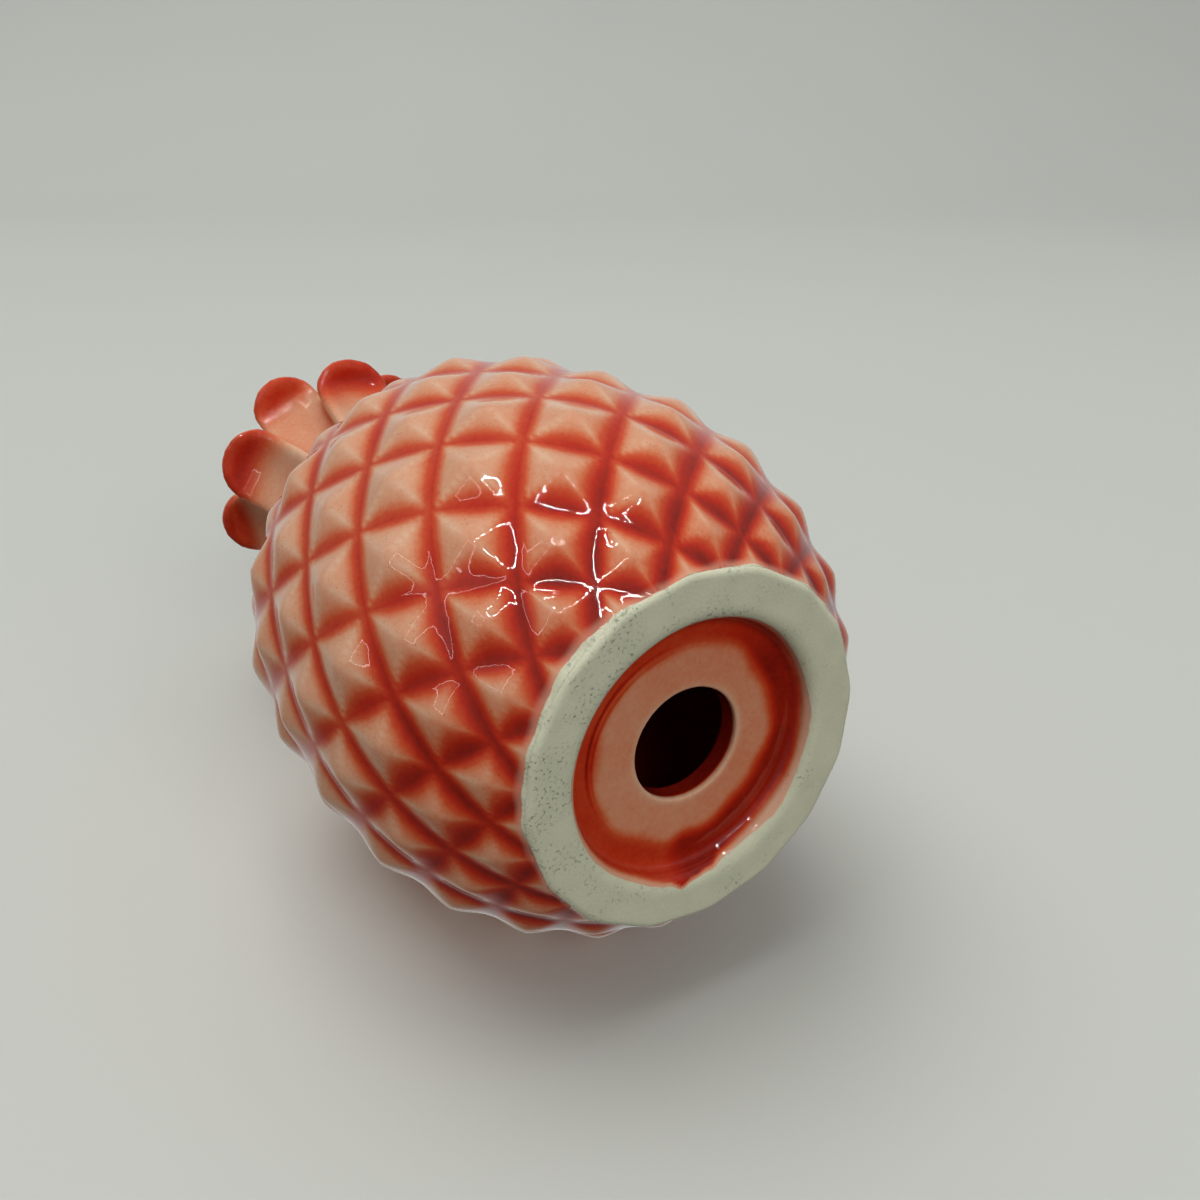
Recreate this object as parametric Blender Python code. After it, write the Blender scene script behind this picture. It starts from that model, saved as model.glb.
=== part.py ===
"""A slip-cast ceramic pineapple ornament, standing upright on its foot ring.

It is one hollow cast piece. Two families of spiral grooves cross on a barrel-shaped
body and leave a four-sided point in each diamond between them. The foot is a flat
ring round a shallow recess, with the casting hole in the recess floor. The crown is
two tiers of thick, rounded, drooping leaves round a small upright bud.

Metres, +Z up. The origin is the centre of the foot's flat underside.
"""

import math

import bmesh
import bpy
import numpy as np
from mathutils import Vector

MM = 0.001

# Body outline at the bottom of the grooves, as (radius, height), from foot to neck.
FOOT_EDGE_RADIUS = 18.9 * MM
FOOT_EDGE_HEIGHT = 0.6 * MM
BELLY_RADIUS = 30.1 * MM
NECK_RADIUS = 9.5 * MM
NECK_HEIGHT = 61.6 * MM
BODY_OUTLINE = [
    (FOOT_EDGE_RADIUS, FOOT_EDGE_HEIGHT),
    (23.4 * MM, 6.5 * MM),
    (27.6 * MM, 14.9 * MM),
    (29.85 * MM, 24.6 * MM),
    (BELLY_RADIUS, 34.2 * MM),
    (29.7 * MM, 43.9 * MM),
    (27.8 * MM, 51.4 * MM),
    (22.3 * MM, 58.1 * MM),
    (15.5 * MM, 61.1 * MM),
    (NECK_RADIUS, NECK_HEIGHT),
]

# Spiral grooves. A spiral climbs a fixed share of the radius in each step round the
# body, so the diamonds keep their shape as the body narrows.
GROOVES = 16
ROW_CLIMB = 0.2335
FIRST_ROW_DROP = 0.056
POINT_HEIGHT = 1.15 * MM
FOOT_POINT_SHARE = 0.45
FULL_POINT_ROW = 1.5
DIAMOND_STEPS = 2

# Foot ring, recess and casting hole.
FOOT_FACE_INSET = 0.6 * MM
RECESS_RADIUS = 14.1 * MM
RECESS_DEPTH = 2.5 * MM
RECESS_EDGE = 0.7 * MM
RECESS_DRAFT = 0.4 * MM
RECESS_CORNER = 0.8 * MM
HOLE_RADIUS = 6.0 * MM
HOLE_EDGE = 0.35 * MM
FLOOR_THICKNESS = 2.7 * MM

# Hollow inside.
WALL = 3.0 * MM
CAVITY_CORNER_HEIGHT = 9.0 * MM
CAVITY_CORNER_SHARE = 0.3
CAVITY_SHOULDER_HEIGHT = 57.1 * MM
CAVITY_RINGS = 11
CAVITY_NECK_RADIUS = 4.4 * MM
CAVITY_TOP_HEIGHT = 86.0 * MM

# The core that the leaves grow from, as (radius, height) above the neck.
CORE_OUTLINE = [
    (8.8 * MM, 64.0 * MM),
    (9.2 * MM, 71.0 * MM),
    (10.2 * MM, 79.0 * MM),
    (10.4 * MM, 87.0 * MM),
    (8.4 * MM, 93.0 * MM),
    (4.2 * MM, 96.0 * MM),
]
CORE_TOP_RISE = 0.6 * MM

# Crown leaves. Each tier's midrib is (distance from the axis, height), root to tip.
CROWN_TURN = math.radians(26.5)
TIER_LEAVES = 5
LOWER_MIDRIB = [
    (7.3 * MM, 63.5 * MM),
    (8.4 * MM, 72.5 * MM),
    (10.0 * MM, 81.5 * MM),
    (12.9 * MM, 89.8 * MM),
    (16.9 * MM, 95.8 * MM),
    (20.9 * MM, 95.8 * MM),
]
UPPER_MIDRIB = [
    (7.0 * MM, 76.0 * MM),
    (8.2 * MM, 84.0 * MM),
    (10.0 * MM, 92.0 * MM),
    (12.9 * MM, 98.6 * MM),
    (16.3 * MM, 102.2 * MM),
    (19.8 * MM, 101.0 * MM),
]
BUD_MIDRIB = [
    (2.2 * MM, 90.5 * MM),
    (3.8 * MM, 95.5 * MM),
    (5.2 * MM, 100.5 * MM),
    (8.0 * MM, 104.8 * MM),
]
LOWER_HALF_WIDTH = 5.6 * MM
UPPER_HALF_WIDTH = 5.2 * MM
LEAF_THICKNESS = 3.8 * MM
LEAF_CUP = 1.9 * MM
BUD_HALF_WIDTH = 3.8 * MM
BUD_THICKNESS = 3.0 * MM
BUD_CUP = 0.9 * MM
LEAF_ROOT_SHARE = 0.82
LEAF_TIP_START = 0.85
LEAF_TIP_FULLNESS = 0.65
LEAF_TIP_BLUNTNESS = 2.7
LEAF_STATIONS = 9
LEAF_SIDES = 10
LEAF_SQUARENESS = 2.6

# How far each leaf strays from an even spacing: the most, and a sine wave's phase at
# the tier's first leaf and its step from leaf to leaf, in radians.
LEAF_SWING = math.radians(1.6)
SWING_PHASE, SWING_STEP = 1.0, 2.4
LEAF_LIFT = 0.7 * MM
LIFT_PHASE, LIFT_STEP = 2.0, 1.7

GLAZE_COLOR = (0.62, 0.13, 0.055, 1.0)
CLAY_COLOR = (0.62, 0.63, 0.56, 1.0)
GLAZE_ROUGHNESS = 0.12
CLAY_ROUGHNESS = 0.8
SHARP_ANGLE = math.radians(28)
CURVE_SAMPLES = 600
ALIKE = 1e-6


def spline(points, count):
    """A smooth curve through the points, as count evenly spread (x, y) rows."""
    knots = np.array(points, float)
    spans = np.hypot(*np.diff(knots, axis=0).T)
    at = np.concatenate([[0.0], np.cumsum(spans)])
    size = len(knots)
    system = np.eye(size)
    wanted = np.zeros((size, 2))
    for k in range(1, size - 1):
        before, after = spans[k - 1], spans[k]
        system[k, k - 1 : k + 2] = before, 2 * (before + after), after
        rise_after = (knots[k + 1] - knots[k]) / after
        rise_before = (knots[k] - knots[k - 1]) / before
        wanted[k] = 6 * (rise_after - rise_before)
    bend = np.linalg.solve(system, wanted)
    t = np.linspace(0.0, at[-1], count)
    k = np.clip(np.searchsorted(at, t, side="right") - 1, 0, size - 2)
    span = spans[k][:, None]
    left = (at[k + 1] - t)[:, None]
    right = (t - at[k])[:, None]
    curved = (bend[k] * left**3 + bend[k + 1] * right**3) / (6 * span)
    start = (knots[k] / span - bend[k] * span / 6) * left
    end = (knots[k + 1] / span - bend[k + 1] * span / 6) * right
    return curved + start + end


class Outline:
    """A turned outline that can be read by climb, the length along it over its radius."""

    def __init__(self, points):
        self.line = spline(points, CURVE_SAMPLES)
        steps = np.diff(self.line, axis=0)
        lengths = np.hypot(*steps.T)
        middle = (self.line[1:, 0] + self.line[:-1, 0]) / 2
        self.climb = np.concatenate([[0.0], np.cumsum(lengths / middle)])
        along = np.gradient(self.line, axis=0)
        along /= np.hypot(*along.T)[:, None]
        self.outward = np.column_stack([along[:, 1], -along[:, 0]])

    def at(self, climb):
        """Radius, height and the outward direction at that climb."""
        return [
            float(np.interp(climb, self.climb, column))
            for column in (*self.line.T, *self.outward.T)
        ]

    def inside(self, offset, lowest, highest, count):
        """Points of the same outline, moved in by offset, between two heights."""
        moved = self.line - self.outward * offset
        heights = np.linspace(lowest, highest, count)
        order = np.argsort(moved[:, 1])
        radii = np.interp(heights, moved[order, 1], moved[order, 0])
        return list(zip(radii, heights))


def row_climb(row):
    """Climb of a row of groove crossings; the pattern runs off under the foot edge."""
    return max(0.0, row * ROW_CLIMB - FIRST_ROW_DROP)


def diamond_rise(across, along):
    """Height of the four-sided point, 0 in the grooves and 1 at the diamond's middle."""
    a = across - math.floor(across)
    b = along - math.floor(along)
    return 2 * min(a, 1 - a, b, 1 - b)


def point_height(row, radius):
    """Points shrink with the diamonds, and are worn down where they meet the foot."""
    share = FOOT_POINT_SHARE + (1 - FOOT_POINT_SHARE) * min(1.0, row / FULL_POINT_ROW)
    return POINT_HEIGHT * share * radius / BELLY_RADIUS


def ring(mesh, radius, height, columns):
    """A plain ring of vertices round the axis."""
    made = []
    for k in range(columns):
        angle = 2 * math.pi * k / columns
        spot = (radius * math.cos(angle), radius * math.sin(angle), height)
        made.append(mesh.verts.new(spot))
    return made


def bridge(mesh, lower, upper):
    """Quads between two rings whose vertices stand over each other."""
    size = len(lower)
    faces = []
    for k in range(size):
        n = (k + 1) % size
        faces.append(mesh.faces.new((lower[k], lower[n], upper[n], upper[k])))
    return faces


def fan(mesh, rim, tip, upward):
    """Triangles from a ring to one point on the axis."""
    size = len(rim)
    for k in range(size):
        n = (k + 1) % size
        corners = (rim[k], rim[n], tip) if upward else (rim[n], rim[k], tip)
        mesh.faces.new(corners)


def add_lattice(mesh, outline):
    """The diamond-patterned wall. Returns its lowest and highest rings."""
    steps = DIAMOND_STEPS
    rows = int((outline.climb[-1] + FIRST_ROW_DROP) / ROW_CLIMB)
    columns = GROOVES * steps
    grid = []
    for level in range(rows * steps + 1):
        row = level / steps
        radius, height, out_r, out_z = outline.at(row_climb(row))
        made = []
        for k in range(columns):
            # Places along the row in half diamonds; odd levels are shifted half a step.
            place = (2 * k + level % 2) / steps
            rise = diamond_rise((row + place) / 2, (row - place) / 2)
            rise *= point_height(row, radius)
            angle = math.pi * place / GROOVES
            r = radius + rise * out_r
            z = height + rise * out_z
            made.append(mesh.verts.new((r * math.cos(angle), r * math.sin(angle), z)))
        grid.append(made)
    for level in range(-1, rows * steps):
        for k in range(columns):
            add_small_diamond(mesh, grid, level, k, steps)
    return grid[0], grid[-1]


def add_small_diamond(mesh, grid, level, k, steps):
    """One small diamond above a lattice vertex, split along the ridge it carries."""
    columns = len(grid[0])
    shift = level % 2
    left = grid[level + 1][(k + shift - 1) % columns]
    right = grid[level + 1][(k + shift) % columns]
    if level < 0:
        # Lower halves lie under the foot edge, so only the upper halves are made.
        mesh.faces.new((left, right, grid[1][k]))
        return
    bottom = grid[level][k]
    if level + 2 == len(grid):
        mesh.faces.new((bottom, right, left))
        return
    top = grid[level + 2][k]
    row = level / steps
    place = (2 * k + shift) / steps
    across = (row + place) / 2
    along = (row - place) / 2
    upright = abs((across - math.floor(across)) - (along - math.floor(along))) < ALIKE
    if upright:
        mesh.faces.new((bottom, right, top))
        mesh.faces.new((bottom, top, left))
    else:
        mesh.faces.new((bottom, right, left))
        mesh.faces.new((left, right, top))


def add_underside(mesh, edge):
    """The foot's flat face, the recess and the casting hole. Returns the last ring."""
    columns = len(edge)
    face_edge = []
    for v in edge:
        spot = v.co.copy()
        spot.z = 0.0
        radius = math.hypot(spot.x, spot.y)
        spot *= (radius - FOOT_FACE_INSET) / radius
        face_edge.append(mesh.verts.new(spot))
    chamfer = bridge(mesh, face_edge, edge)
    floor = RECESS_DEPTH
    inner_floor = RECESS_DEPTH + FLOOR_THICKNESS
    turned = [
        (RECESS_RADIUS + RECESS_EDGE, 0.0),
        (RECESS_RADIUS, RECESS_EDGE),
        (RECESS_RADIUS - RECESS_DRAFT, floor - RECESS_CORNER),
        (RECESS_RADIUS - RECESS_DRAFT - RECESS_CORNER, floor),
        (HOLE_RADIUS + HOLE_EDGE, floor),
        (HOLE_RADIUS, floor + HOLE_EDGE),
        (HOLE_RADIUS, inner_floor - HOLE_EDGE),
        (HOLE_RADIUS + HOLE_EDGE, inner_floor),
    ]
    last = face_edge
    bare = chamfer
    for radius, height in turned:
        following = ring(mesh, radius, height, columns)
        faces = bridge(mesh, following, last)
        if last is face_edge:
            bare = bare + faces
        last = following
    for face in bare:
        face.material_index = 1
    return last


def add_cavity(mesh, outline, last):
    """The hollow inside, from the casting hole's inner edge up into the crown's core."""
    columns = len(last)
    low = RECESS_DEPTH + FLOOR_THICKNESS
    wall_points = outline.inside(
        WALL, CAVITY_CORNER_HEIGHT, CAVITY_SHOULDER_HEIGHT, CAVITY_RINGS
    )
    corner_radius = wall_points[0][0]
    corner = CAVITY_CORNER_HEIGHT - low
    corner_cut = CAVITY_CORNER_SHARE * corner
    top_cut = CAVITY_CORNER_SHARE * CAVITY_NECK_RADIUS
    points = [
        (corner_radius - corner, low),
        (corner_radius - corner_cut, low + corner_cut),
        *wall_points,
        (CAVITY_NECK_RADIUS + WALL, NECK_HEIGHT - WALL),
        (CAVITY_NECK_RADIUS, NECK_HEIGHT),
        (CAVITY_NECK_RADIUS, CAVITY_TOP_HEIGHT - CAVITY_NECK_RADIUS),
        (CAVITY_NECK_RADIUS - top_cut, CAVITY_TOP_HEIGHT - top_cut),
    ]
    for radius, height in points:
        following = ring(mesh, radius, height, columns)
        bridge(mesh, following, last)
        last = following
    tip = mesh.verts.new((0.0, 0.0, CAVITY_TOP_HEIGHT))
    fan(mesh, last, tip, upward=False)


def add_core(mesh, top_ring):
    """The plain stalk inside the crown, closed at the top."""
    columns = len(top_ring)
    last = top_ring
    for radius, height in CORE_OUTLINE:
        following = ring(mesh, radius, height, columns)
        bridge(mesh, last, following)
        last = following
    tip = mesh.verts.new((0.0, 0.0, CORE_OUTLINE[-1][1] + CORE_TOP_RISE))
    fan(mesh, last, tip, upward=True)


def leaf_shares(t):
    """Width and thickness of a leaf at t, as shares of the fullest."""
    grown = min(1.0, t / LEAF_TIP_START)
    grown = grown * grown * (3 - 2 * grown)
    width = LEAF_ROOT_SHARE + (1 - LEAF_ROOT_SHARE) * grown
    past = max(0.0, (t - LEAF_TIP_START) / (1 - LEAF_TIP_START))
    blunt = max(0.0, 1 - past**LEAF_TIP_BLUNTNESS) ** (1 / LEAF_TIP_BLUNTNESS)
    rounding = math.sqrt(max(0.0, 1 - past * past))
    fuller = math.sqrt(rounding) - rounding
    return width * blunt, rounding + LEAF_TIP_FULLNESS * fuller


def rounded(value, squareness):
    """Signed power that turns a circle's coordinates into a fuller oval's."""
    return math.copysign(abs(value) ** (2 / squareness), value)


def add_leaf(mesh, midrib, angle, half_width, thickness, cup):
    """One closed leaf: an arching tongue with a hollowed underside."""
    line = spline(midrib, CURVE_SAMPLES)
    slopes = np.gradient(line, axis=0)
    slopes /= np.hypot(*slopes.T)[:, None]
    out = Vector((math.cos(angle), math.sin(angle), 0.0))
    side = Vector((-math.sin(angle), math.cos(angle), 0.0))
    up = Vector((0.0, 0.0, 1.0))
    sections = []
    for station in range(LEAF_STATIONS):
        # Stations crowd towards the tip, where the outline turns fastest.
        t = math.sin(0.5 * math.pi * station / LEAF_STATIONS)
        k = t * (CURVE_SAMPLES - 1)
        reach = float(np.interp(k, range(CURVE_SAMPLES), line[:, 0]))
        height = float(np.interp(k, range(CURVE_SAMPLES), line[:, 1]))
        run = float(np.interp(k, range(CURVE_SAMPLES), slopes[:, 0]))
        climb = float(np.interp(k, range(CURVE_SAMPLES), slopes[:, 1]))
        centre = out * reach + up * height
        upper = up * run - out * climb
        width_share, thick_share = leaf_shares(t)
        section = []
        for corner in range(LEAF_SIDES):
            turn = 2 * math.pi * corner / LEAF_SIDES
            across = rounded(math.cos(turn), LEAF_SQUARENESS)
            over = rounded(math.sin(turn), LEAF_SQUARENESS)
            over *= thickness / 2 * thick_share
            over -= cup * thick_share * across * across
            spot = centre + side * (across * half_width * width_share) + upper * over
            section.append(mesh.verts.new(spot))
        sections.append(section)
    tip_spot = out * float(line[-1, 0]) + up * float(line[-1, 1])
    tip = mesh.verts.new(tip_spot)
    for lower, upper_section in zip(sections, sections[1:]):
        bridge(mesh, upper_section, lower)
    fan(mesh, sections[-1], tip, upward=False)
    mesh.faces.new(sections[0])


def add_tier(mesh, count, turn, midrib, half_width, thickness, cup):
    """A ring of leaves round the axis, each set a little unevenly, as if by hand."""
    for k in range(count):
        swing = LEAF_SWING * math.sin(SWING_PHASE + SWING_STEP * k)
        angle = turn + 2 * math.pi * k / count + swing
        lift = LEAF_LIFT * math.sin(LIFT_PHASE + LIFT_STEP * k)
        root = midrib[0][0]
        reach = midrib[-1][0] - root
        bent = [(r, z + lift * (r - root) / reach) for r, z in midrib]
        add_leaf(mesh, bent, angle, half_width, thickness, cup)


def plain_material(name, color, roughness):
    """A Principled material with one colour."""
    material = bpy.data.materials.new(name)
    material.use_nodes = True
    shader = material.node_tree.nodes["Principled BSDF"]
    shader.inputs["Base Color"].default_value = color
    shader.inputs["Roughness"].default_value = roughness
    shader.inputs["Metallic"].default_value = 0.0
    material.diffuse_color = color
    return material


def mesh_object(name, build):
    """An object whose mesh is filled by build(bmesh)."""
    mesh = bmesh.new()
    build(mesh)
    bmesh.ops.recalc_face_normals(mesh, faces=mesh.faces)
    data = bpy.data.meshes.new(name)
    mesh.to_mesh(data)
    mesh.free()
    made = bpy.data.objects.new(name, data)
    bpy.context.scene.collection.objects.link(made)
    return made


def build_body(mesh):
    """The hollow body with its foot, recess, hole and crown core."""
    outline = Outline(BODY_OUTLINE)
    edge, top = add_lattice(mesh, outline)
    last = add_underside(mesh, edge)
    add_cavity(mesh, outline, last)
    add_core(mesh, top)


def build_leaves(mesh):
    """All crown leaves, still as separate closed forms."""
    half_step = math.pi / TIER_LEAVES
    lower = (LOWER_HALF_WIDTH, LEAF_THICKNESS, LEAF_CUP)
    upper = (UPPER_HALF_WIDTH, LEAF_THICKNESS, LEAF_CUP)
    bud = (BUD_HALF_WIDTH, BUD_THICKNESS, BUD_CUP)
    add_tier(mesh, TIER_LEAVES, CROWN_TURN, LOWER_MIDRIB, *lower)
    add_tier(mesh, TIER_LEAVES, CROWN_TURN + half_step, UPPER_MIDRIB, *upper)
    add_tier(mesh, TIER_LEAVES, CROWN_TURN, BUD_MIDRIB, *bud)


def main():
    for old in list(bpy.data.objects):
        bpy.data.objects.remove(old)
    pineapple = mesh_object("pineapple", build_body)
    leaves = mesh_object("crown_leaves_guide", build_leaves)
    leaves.hide_render = True
    leaves.display_type = "WIRE"
    union = pineapple.modifiers.new("crown", "BOOLEAN")
    union.operation = "UNION"
    union.solver = "EXACT"
    union.use_self = True
    union.object = leaves
    glaze = plain_material("coral_glaze", GLAZE_COLOR, GLAZE_ROUGHNESS)
    clay = plain_material("bare_clay", CLAY_COLOR, CLAY_ROUGHNESS)
    pineapple.data.materials.append(glaze)
    pineapple.data.materials.append(clay)
    leaves.data.materials.append(glaze)
    pineapple.data.shade_smooth()
    pineapple.data.set_sharp_from_angle(angle=SHARP_ANGLE)


main()
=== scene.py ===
"""The looks of a slip-cast ceramic pineapple ornament.

One detailed mesh stands for the cast body. Its diamonds have soft ridges and grooves
that the glaze has filled, its foot has rounded edges, and its crown leaves are fused at the
roots. Two values on the mesh steer the material: how thick the glaze lies, which also
carries painted shade under the crown's tips and inside the hole, and how far a point is
inside the bare clay.
"""

import math

import bmesh
import bpy
import numpy as np
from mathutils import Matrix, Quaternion, Vector


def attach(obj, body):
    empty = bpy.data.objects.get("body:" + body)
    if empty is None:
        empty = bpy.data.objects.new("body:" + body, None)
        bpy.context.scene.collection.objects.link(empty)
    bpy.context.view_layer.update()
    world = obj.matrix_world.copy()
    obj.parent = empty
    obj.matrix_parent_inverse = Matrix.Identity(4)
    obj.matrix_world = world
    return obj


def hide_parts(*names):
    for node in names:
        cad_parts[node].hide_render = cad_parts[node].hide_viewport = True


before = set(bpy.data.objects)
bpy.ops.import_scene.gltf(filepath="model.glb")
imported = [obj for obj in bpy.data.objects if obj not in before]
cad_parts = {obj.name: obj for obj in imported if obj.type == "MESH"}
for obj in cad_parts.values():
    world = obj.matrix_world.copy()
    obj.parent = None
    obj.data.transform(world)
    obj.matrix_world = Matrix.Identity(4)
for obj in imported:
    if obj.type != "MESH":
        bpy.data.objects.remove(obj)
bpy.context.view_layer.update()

MM = 0.001

# Body outline at the bottom of the grooves, as (radius, height), from foot to neck.
BELLY_RADIUS = 30.1 * MM
NECK_RADIUS = 9.5 * MM
NECK_HEIGHT = 61.6 * MM
BODY_OUTLINE = [
    (18.9 * MM, 0.6 * MM),
    (23.4 * MM, 6.5 * MM),
    (27.6 * MM, 14.9 * MM),
    (29.85 * MM, 24.6 * MM),
    (BELLY_RADIUS, 34.2 * MM),
    (29.7 * MM, 43.9 * MM),
    (27.8 * MM, 51.4 * MM),
    (22.3 * MM, 58.1 * MM),
    (15.5 * MM, 61.1 * MM),
    (NECK_RADIUS, NECK_HEIGHT),
]

# Spiral grooves and the points between them.
GROOVES = 16
ROW_CLIMB = 0.2335
FIRST_ROW_DROP = 0.056
POINT_HEIGHT = 1.15 * MM
FOOT_POINT_SHARE = 0.45
FULL_POINT_ROW = 1.5
DIAMOND_STEPS = 14
APEX_ROUNDING = 0.34
RIDGE_ROUNDING = 0.26
GROOVE_ROUNDING = 0.30
FACET_DENT = 0.02

# Foot ring, recess and casting hole.
FOOT_EDGE_HEIGHT = 0.6 * MM
FOOT_FACE_INSET = 0.7 * MM
RECESS_RADIUS = 13.9 * MM
RECESS_DEPTH = 2.5 * MM
RECESS_DRAFT = 0.4 * MM
RECESS_EDGE = 1.5 * MM
RECESS_CORNER = 0.95 * MM
HOLE_RADIUS = 6.0 * MM
HOLE_EDGE = 0.4 * MM
FLOOR_THICKNESS = 2.7 * MM
FOOT_ARC_STEPS = 8
FACE_RINGS = 8
FLOOR_RINGS = 30
WALL_RINGS = 4

# Hollow inside.
WALL = 3.0 * MM
CAVITY_CORNER_HEIGHT = 9.0 * MM
CAVITY_CORNER_SHARE = 0.3
CAVITY_SHOULDER_HEIGHT = 57.1 * MM
CAVITY_RINGS = 9
CAVITY_NECK_RADIUS = 4.4 * MM
CAVITY_TOP_HEIGHT = 86.0 * MM
NECK_SLAB_BOTTOM = 58.6 * MM
CHIMNEY_BOTTOM = NECK_SLAB_BOTTOM - 1.0 * MM

# The core that the leaves grow from, as (radius, height).
CORE_OUTLINE = [
    (9.0 * MM, 60.2 * MM),
    (8.8 * MM, 64.0 * MM),
    (9.2 * MM, 71.0 * MM),
    (10.2 * MM, 79.0 * MM),
    (10.4 * MM, 87.0 * MM),
    (8.4 * MM, 93.0 * MM),
    (4.2 * MM, 96.0 * MM),
]
CORE_TOP_RISE = 0.6 * MM
CORE_SIDES = 96

# Crown leaves. Each tier's midrib is (distance from the axis, height), root to tip.
CROWN_TURN = math.radians(26.5)
TIER_LEAVES = 5
LOWER_MIDRIB = [
    (7.3 * MM, 63.5 * MM),
    (8.4 * MM, 72.5 * MM),
    (10.0 * MM, 81.5 * MM),
    (12.9 * MM, 89.8 * MM),
    (16.9 * MM, 95.8 * MM),
    (20.9 * MM, 95.8 * MM),
]
UPPER_MIDRIB = [
    (7.0 * MM, 76.0 * MM),
    (8.2 * MM, 84.0 * MM),
    (10.0 * MM, 92.0 * MM),
    (12.9 * MM, 98.6 * MM),
    (16.3 * MM, 102.2 * MM),
    (19.8 * MM, 101.0 * MM),
]
BUD_MIDRIB = [
    (2.2 * MM, 90.5 * MM),
    (3.8 * MM, 95.5 * MM),
    (5.2 * MM, 100.5 * MM),
    (8.0 * MM, 104.8 * MM),
]
LOWER_HALF_WIDTH = 5.6 * MM
UPPER_HALF_WIDTH = 5.2 * MM
LEAF_THICKNESS = 3.8 * MM
LEAF_CUP = 1.9 * MM
BUD_HALF_WIDTH = 3.8 * MM
BUD_THICKNESS = 3.0 * MM
BUD_CUP = 0.9 * MM
LEAF_ROOT_SHARE = 0.82
LEAF_TIP_START = 0.85
LEAF_TIP_FULLNESS = 0.65
LEAF_TIP_BLUNTNESS = 2.7
LEAF_CREASE = 0.45 * MM
LEAF_CREASE_WIDTH = 0.16
LEAF_STATIONS = 48
LEAF_SIDES = 48
LEAF_SQUARENESS = 2.6
LEAF_SWING = math.radians(1.6)
SWING_PHASE, SWING_STEP = 1.0, 2.4
LEAF_LIFT = 0.7 * MM
LIFT_PHASE, LIFT_STEP = 2.0, 1.7
CROWN_VOXEL = 0.59 * MM
CROWN_SMOOTHING = 5
CROWN_SMOOTHING_FACTOR = 0.5
SLIVER = 0.001 * MM

# Thickness of the glaze. It has no unit: 0.1 is the pale glaze on a point of the body,
# and 1 the deep red of a full groove. Widths in grooves are shares of a diamond's side.
POINT_GLAZE = 0.11
GROOVE_GLAZE = 0.80
MOST_GLAZE = 1.3
BAND_GLAZE_WIDTH = 0.125
LENS_GLAZE_WIDTH = 0.155
BAND_PINCH = 0.15
LENS_PINCH = 0.85
BAND_FLOW = 0.36
LENS_FLOW = 0.60
FLOW_REACH = 0.20
FULLNESS_POWER = 0.8
PINCH_THINNING = 0.35
CROWN_SIDE = 1.25
FOOT_SIDE = 0.70
RIDGE_WIDTH = 0.13
RIDGE_START = 0.3
RIDGE_WEAR = 0.18
FOOT_HEIGHTS = (4.0 * MM, 24.0 * MM)
FOOT_GLAZE = 0.14
FOOT_GROOVE_GLAZE = 0.18
FOOT_GROOVE_SPREAD = 0.75

# Glaze on the crown: thicker in its hollows, which are measured in millimetres under the
# smoothed form, and on the undersides of the tips, where it is partly pooled glaze and partly
# painted shade.
CROWN_GLAZE = 0.20
HOLLOW_GLAZE = 1.1
HOLLOW_LIMITS = (-0.12, 0.30)
SMOOTHING_PASSES = 14
# Extra glaze under the drooping tips, which also stands for painted shade there.
TIP_GLAZE_AND_SHADE = 0.80
TIP_RADII = (14.5 * MM, 19.0 * MM)
TIP_FACING = (-0.4, 0.3)
CROWN_HEIGHTS = (NECK_HEIGHT - 1.5 * MM, NECK_HEIGHT + 1.0 * MM)
LEAVES_RADIUS = 16.0 * MM
LEAVES_HEIGHT = 66.0 * MM

# Glaze in the recess: a band in its corner, wider and thicker on one side, with two thin
# lines on the other. Sizes are in millimetres, and waves are (size, turns, phase).
WIDE_MIDDLE = math.radians(62)
WIDE_START_DEGREES = (-110, -45)
WIDE_END_DEGREES = (66, 82)
BAND_REACH = 3.7
WIDE_REACH = 0.8
REACH_WAVES = ((0.30, 5, 0.6), (0.20, 11, 2.0))
BAND_FADE = 0.45
BAND_GLAZE = 0.84
WIDE_GLAZE = 0.36
FLOOR_GLAZE = 0.31
THIN_LINES = ((2.2, 0.60), (2.75, 0.40))
THIN_LINE_WIDTH = 0.16
THIN_LINE_SWAY = 0.25
THIN_LINE_TURNS = 2
THIN_LINE_PHASE = 0.4
THIN_LINES_MIDDLE = math.radians(245)
THIN_LINES_SPREAD = math.radians(42)
RECESS_SIDE = RECESS_RADIUS + 0.5 * MM
HOLE_RIM_WIDTH = 0.5 * MM
HOLE_RIM_WEAR = 0.28
HOLE_WALL_RADIUS = HOLE_RADIUS + 0.2 * MM
HOLE_WALL_BOTTOM = RECESS_DEPTH + 0.5 * MM
# Very thick glaze on the hole's wall, which partly stands for painted shade inside the hole.
HOLE_GLAZE_AND_SHADE = 1.25

# Glaze in the hollow of the body, and the space that counts as that hollow.
CAVITY_GLAZE = 1.05
CAVITY_WALL_SHARE = 0.6
CAVITY_HEIGHTS = (RECESS_DEPTH + 0.9 * FLOOR_THICKNESS, NECK_HEIGHT - 2.0 * MM)

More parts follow.
